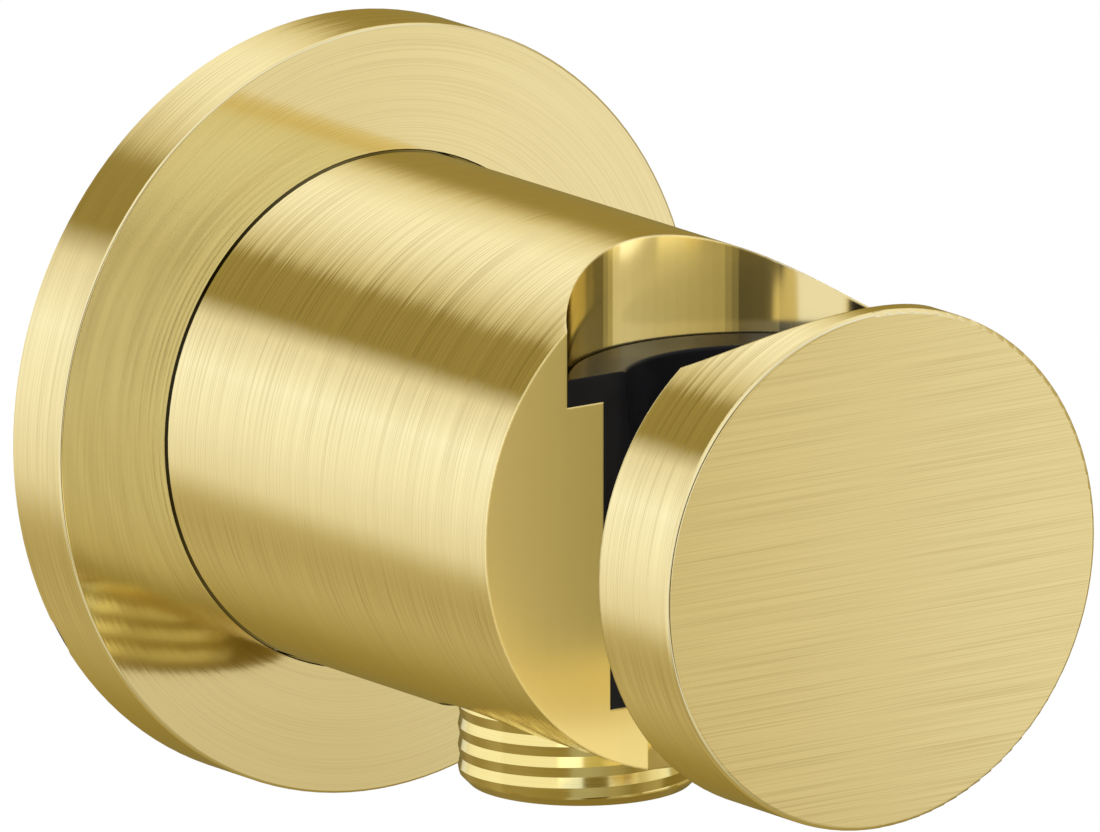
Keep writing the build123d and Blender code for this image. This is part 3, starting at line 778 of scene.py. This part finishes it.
def light_ring(name, near, far, panels, tints):
    """One ring of the tent between two places along y, seen only in the metal's reflections."""
    start = panels[0][0]
    mesh = bmesh.new()
    layer = mesh.loops.layers.uv.new("turn")
    rows = []
    for index in range(TENT_STRIPS + 1):
        angle = radians(start) + tau * index / TENT_STRIPS
        x, z = TENT_RADIUS * cos(angle), TENT_RADIUS * sin(angle)
        rows.append([mesh.verts.new((x, y, z)) for y in (near, far)])
    for index, (first, second) in enumerate(zip(rows, rows[1:])):
        face = mesh.faces.new((first[0], second[0], second[1], first[1]))
        for loop in face.loops:
            step = index if loop.vert in first else index + 1
            loop[layer].uv = (step / TENT_STRIPS, 1.0)
    data = bpy.data.meshes.new(f"{name}_ring")
    mesh.to_mesh(data)
    mesh.free()
    levels = [((angle - start) / 360, level) for angle, level in panels]
    data.materials.append(light_material(f"{name}_light", levels, tints))
    ring = bpy.data.objects.new(f"{name}_ring", data)
    bpy.context.scene.collection.objects.link(ring)
    hide_from_camera(ring)


def front_panel():
    """The flat panel in front of the part, seen only in the metal's reflections."""
    across = Vector((0, 0, 1)).cross(PANEL_DIRECTION).normalized()
    rise = PANEL_DIRECTION.cross(across)
    corners = [(-1, -1), (1, -1), (1, 1), (-1, 1)]
    points = [
        PANEL_CENTRE + across * (u * PANEL_WIDTH / 2) + rise * (v * PANEL_HEIGHT / 2)
        for u, v in corners
    ]
    data = bpy.data.meshes.new("front_panel_card")
    data.from_pydata(points, [], [(0, 1, 2, 3)])
    layer = data.uv_layers.new(name="turn")
    for loop, (u, v) in zip(layer.data, corners):
        loop.uv = ((u + 1) / 2, (v + 1) / 2)
    data.materials.append(light_material("front_panel_light", PANEL_LEVELS, WARM_TINTS, PANEL_FOOT))
    card = bpy.data.objects.new("front_panel_card", data)
    bpy.context.scene.collection.objects.link(card)
    hide_from_camera(card)


def tent():
    """The rings of soft panels round the part."""
    for name, near, far, panels in TENT_RINGS:
        tints = FRONT_TINTS if name == "front" else WARM_TINTS
        light_ring(name, near, far, panels, tints)


def lamp(name, centre, direction, width, height, level):
    """A small lamp close in front of a surface, seen only in the metal's reflections."""
    data = bpy.data.lights.new(name, "AREA")
    data.shape = "RECTANGLE"
    data.size = width
    data.size_y = height
    data.color = light_colour(level, LAMP_TINTS)[:3]
    data.energy = LIGHT_PEAK * LAMP_WATTS_PER_AREA * width * height
    piece = bpy.data.objects.new(name, data)
    piece.location = centre
    piece.rotation_mode = "QUATERNION"
    piece.rotation_quaternion = direction.to_track_quat("-Z", "Y")
    piece.visible_camera = False
    piece.visible_diffuse = False
    bpy.context.scene.collection.objects.link(piece)


def between(first, last, index, count):
    """The middle of one of a number of equal steps from first to last."""
    return first + (last - first) * (index + 0.5) / count


def seat_lamps():
    """Lamps along the wall above the seat."""
    radius = SEAT_RIM_RADIUS - LAMP_GAP
    height = BODY_RADIUS - INSERT_TOP
    middle = Vector((0, SEAT_Y, INSERT_TOP + height / 2))
    for first, last, first_level, last_level, count in SEAT_LAMPS:
        width = 2 * radius * tan(radians(last - first) / count / 2)
        for index in range(count):
            angle = radians(between(first, last, index, count))
            outward = Vector((cos(angle), sin(angle), 0))
            level = between(first_level, last_level, index, count)
            lamp("seat_lamp", middle + outward * radius, outward, width, height, level)


def slot_lamps():
    """Lamps along the slot's rear face."""
    for left, right, low, high, left_level, right_level, count in SLOT_LAMPS:
        for index in range(count):
            centre = Vector((between(left, right, index, count), SLOT_FACE - LAMP_GAP, (low + high) / 2))
            level = between(left_level, right_level, index, count)
            lamp("slot_lamp", centre, Vector((0, 1, 0)), (right - left) / count, high - low, level)


def white_floor():
    """A plain white floor well below the part, which hangs on a wall."""
    half = FLOOR_SIZE / 2
    corners = [(-half, -half), (half, -half), (half, half), (-half, half)]
    data = bpy.data.meshes.new("floor")
    data.from_pydata([(x, y, FLOOR_HEIGHT) for x, y in corners], [], [(0, 1, 2, 3)])
    material, tree, shader = new_material("floor_white", 0.0)
    shader.inputs["Base Color"].default_value = WHITE
    shader.inputs["Roughness"].default_value = 1.0
    shader.inputs["Specular IOR Level"].default_value = 0.0
    data.materials.append(material)
    piece = bpy.data.objects.new("floor", data)
    bpy.context.scene.collection.objects.link(piece)


def world():
    """Even white light from all round."""
    sky = bpy.data.worlds.new("studio")
    sky.use_nodes = True
    background = sky.node_tree.nodes["Background"]
    background.inputs["Color"].default_value = WHITE
    background.inputs["Strength"].default_value = 1.0
    bpy.context.scene.world = sky


def camera():
    """The photograph's view, from the left and a little above."""
    turn, rise = radians(CAMERA_AZIMUTH), radians(CAMERA_ELEVATION)
    back = Vector((sin(turn) * cos(rise), -cos(turn) * cos(rise), sin(rise)))
    data = bpy.data.cameras.new("camera")
    data.lens = CAMERA_LENS
    data.sensor_width = CAMERA_SENSOR
    data.clip_start = CAMERA_NEAREST
    data.clip_end = CAMERA_FARTHEST
    piece = bpy.data.objects.new("camera", data)
    piece.location = CAMERA_AIM + back * CAMERA_DISTANCE
    piece.rotation_mode = "QUATERNION"
    piece.rotation_quaternion = (-back).to_track_quat("-Z", "Y")
    bpy.context.scene.collection.objects.link(piece)
    bpy.context.scene.camera = piece


def dress(material, *nodes):
    """Gives carried-over nodes a finish."""
    for node in nodes:
        piece = frame["nodes"][node]
        piece.data.materials.clear()
        piece.data.materials.append(material)


# The part. Its flange and the seals behind it aren't mirrored, as in the photograph.
dress(gold_body(), "holder_body")
dress(gold_flange(), "wall_flange")
for node in ("wall_flange", "flange_wall_seal", "flange_grip_ring"):
    frame["nodes"][node].visible_glossy = False
black_plastic = moulded("black_plastic", PLASTIC_BLACK, PLASTIC_BLACK_WORN, BLACK_ROUGH, BLACK_GRAIN,
                        shine=BLACK_SHINE)
dress(black_plastic, "cone_insert")
black_rubber = moulded("black_rubber", RUBBER_BLACK, RUBBER_DUSTY, RUBBER_ROUGH, RUBBER_GRAIN)
dress(black_rubber, "flange_wall_seal", "flange_grip_ring", "nipple_o_ring_rear", "nipple_o_ring_front",
      "outlet_nipple_o_ring", "check_valve_o_ring", "poppet_seal")
valve_plastic = moulded("valve_plastic", VALVE_WHITE, VALVE_SHADE, VALVE_ROUGH, VALVE_GRAIN)
dress(valve_plastic, "check_valve_cage", "check_valve_poppet", "check_valve_guide")
steel = turned_metal("stainless_steel", STEEL_DEEP, STEEL_LIGHT, STEEL_ROUGH, "Z")
dress(steel, "body_grub_screw")
closing_spring(steel)
outlet_thread(
    turned_metal("thread_flank", THREAD_LIGHT_DEEP, THREAD_LIGHT, THREAD_ROUGH, "Z", THREAD_BACK_SHADE),
    # Painted shade on the lower flanks and the chamfer
    turned_metal("thread_painted_shade", THREAD_PAINTED_SHADE_DEEP, THREAD_PAINTED_SHADE, THREAD_UNDER_ROUGH, "Z", THREAD_BACK_SHADE),
)
wall_thread(turned_metal("plain_brass", BRASS_DEEP, BRASS_LIGHT, BRASS_ROUGH, "Y"))

# The studio
tent()
front_panel()
seat_lamps()
slot_lamps()
white_floor()
world()
camera()
bpy.context.scene.view_settings.view_transform = "Standard"
bpy.context.scene.cycles.max_bounces = MIRROR_BOUNCES
bpy.context.scene.cycles.glossy_bounces = MIRROR_BOUNCES
